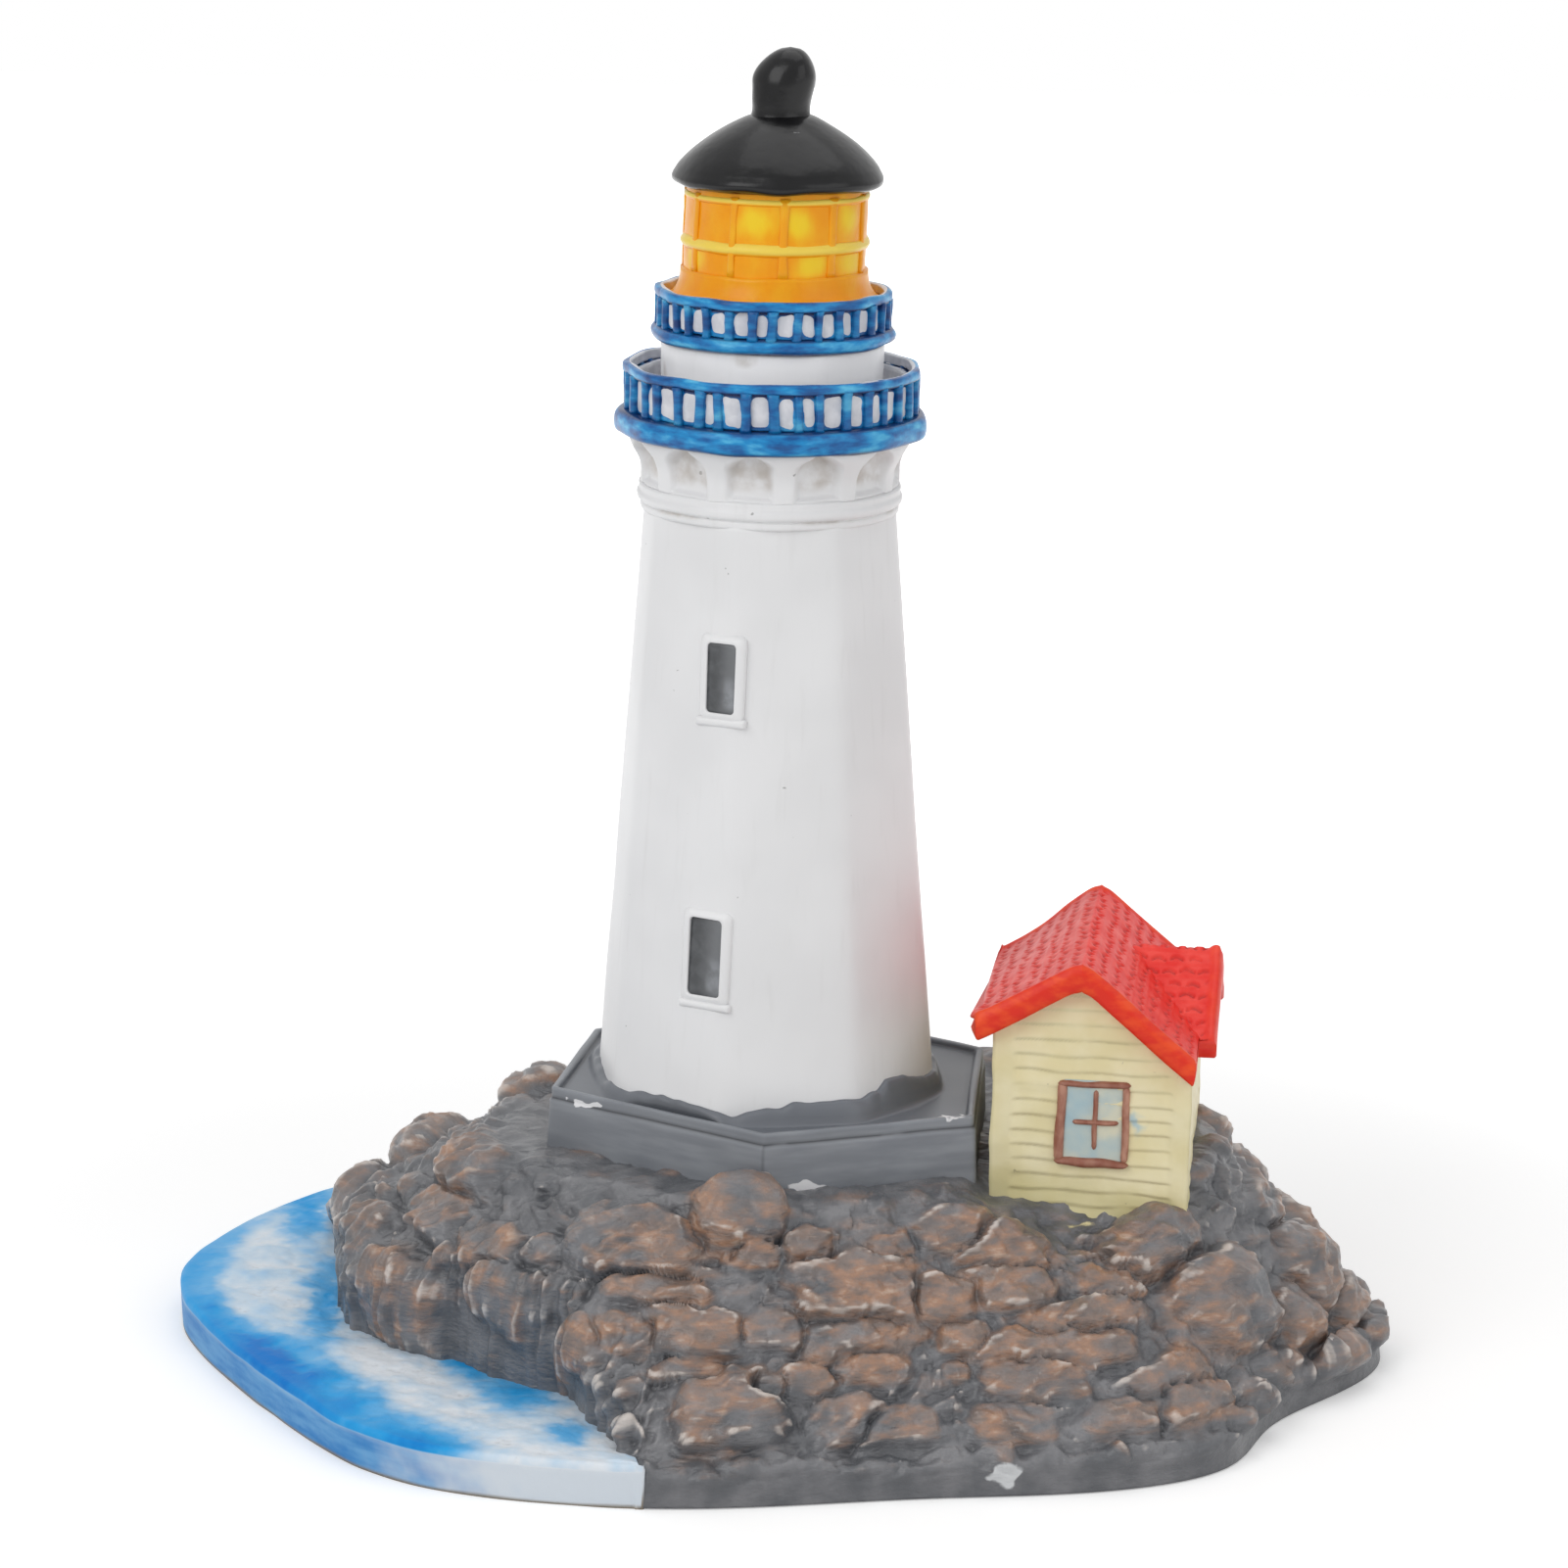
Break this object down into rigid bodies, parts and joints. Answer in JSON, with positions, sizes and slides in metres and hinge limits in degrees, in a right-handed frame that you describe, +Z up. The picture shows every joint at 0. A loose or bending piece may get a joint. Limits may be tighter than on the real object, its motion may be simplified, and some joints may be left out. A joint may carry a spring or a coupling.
{
  "type": "lighthouse ornament",
  "caption": "White octagonal lighthouse ornament on a rock island, with blue gallery rails, an orange lantern, a red-roofed keeper's cottage and a strip of sea.",
  "frame": {"origin": "on the ground plane, under the tower's axis", "axes": "+X to the right seen from the front, +Y to the back, +Z up along the tower's axis"},
  "size_m": [0.1415, 0.0943, 0.15],
  "materials": {
    "rock": "cast polyresin, slate grey with a brown dry-brushed wash",
    "sea_paint": "cast polyresin, blue and white brushed paint",
    "plinth_grey": "cast polyresin, brushed grey paint",
    "tower_white": "cast polyresin, semi-gloss white paint",
    "window_grey": "dark grey paint",
    "rail_blue": "glossy streaked blue paint",
    "lantern_orange": "glossy orange paint with yellow patches",
    "roof_black": "soft-gloss black paint",
    "cottage_cream": "cast polyresin, cream paint",
    "cottage_red": "semi-gloss red paint with orange-red edges",
    "window_brown": "thin brushed brown paint",
    "window_pale_blue": "pale blue paint"
  },
  "bodies": {
    "root": {"rock_base": "rock", "sea": "sea_paint", "plinth": "plinth_grey", "tower_shaft": "tower_white", "lower_window_frame": "tower_white", "lower_window_pane": "window_grey", "upper_window_frame": "tower_white", "upper_window_pane": "window_grey", "neck_ring": "tower_white", "corbel_ring": "tower_white", "lower_gallery_deck": "rail_blue", "lower_parapet": "tower_white", "lower_railing": "rail_blue", "watch_room": "tower_white", "upper_gallery_deck": "rail_blue", "upper_parapet": "tower_white", "upper_railing": "rail_blue", "lantern_base": "lantern_orange", "lantern_glazing": "lantern_orange", "lantern_frame": "lantern_orange", "lantern_roof": "roof_black", "finial": "roof_black", "cottage_walls": "cottage_cream", "cottage_roof": "cottage_red", "cottage_wing_roof": "cottage_red", "cottage_window_frame": "window_brown", "cottage_window_panes": "window_pale_blue"}
  },
  "joints": []
}
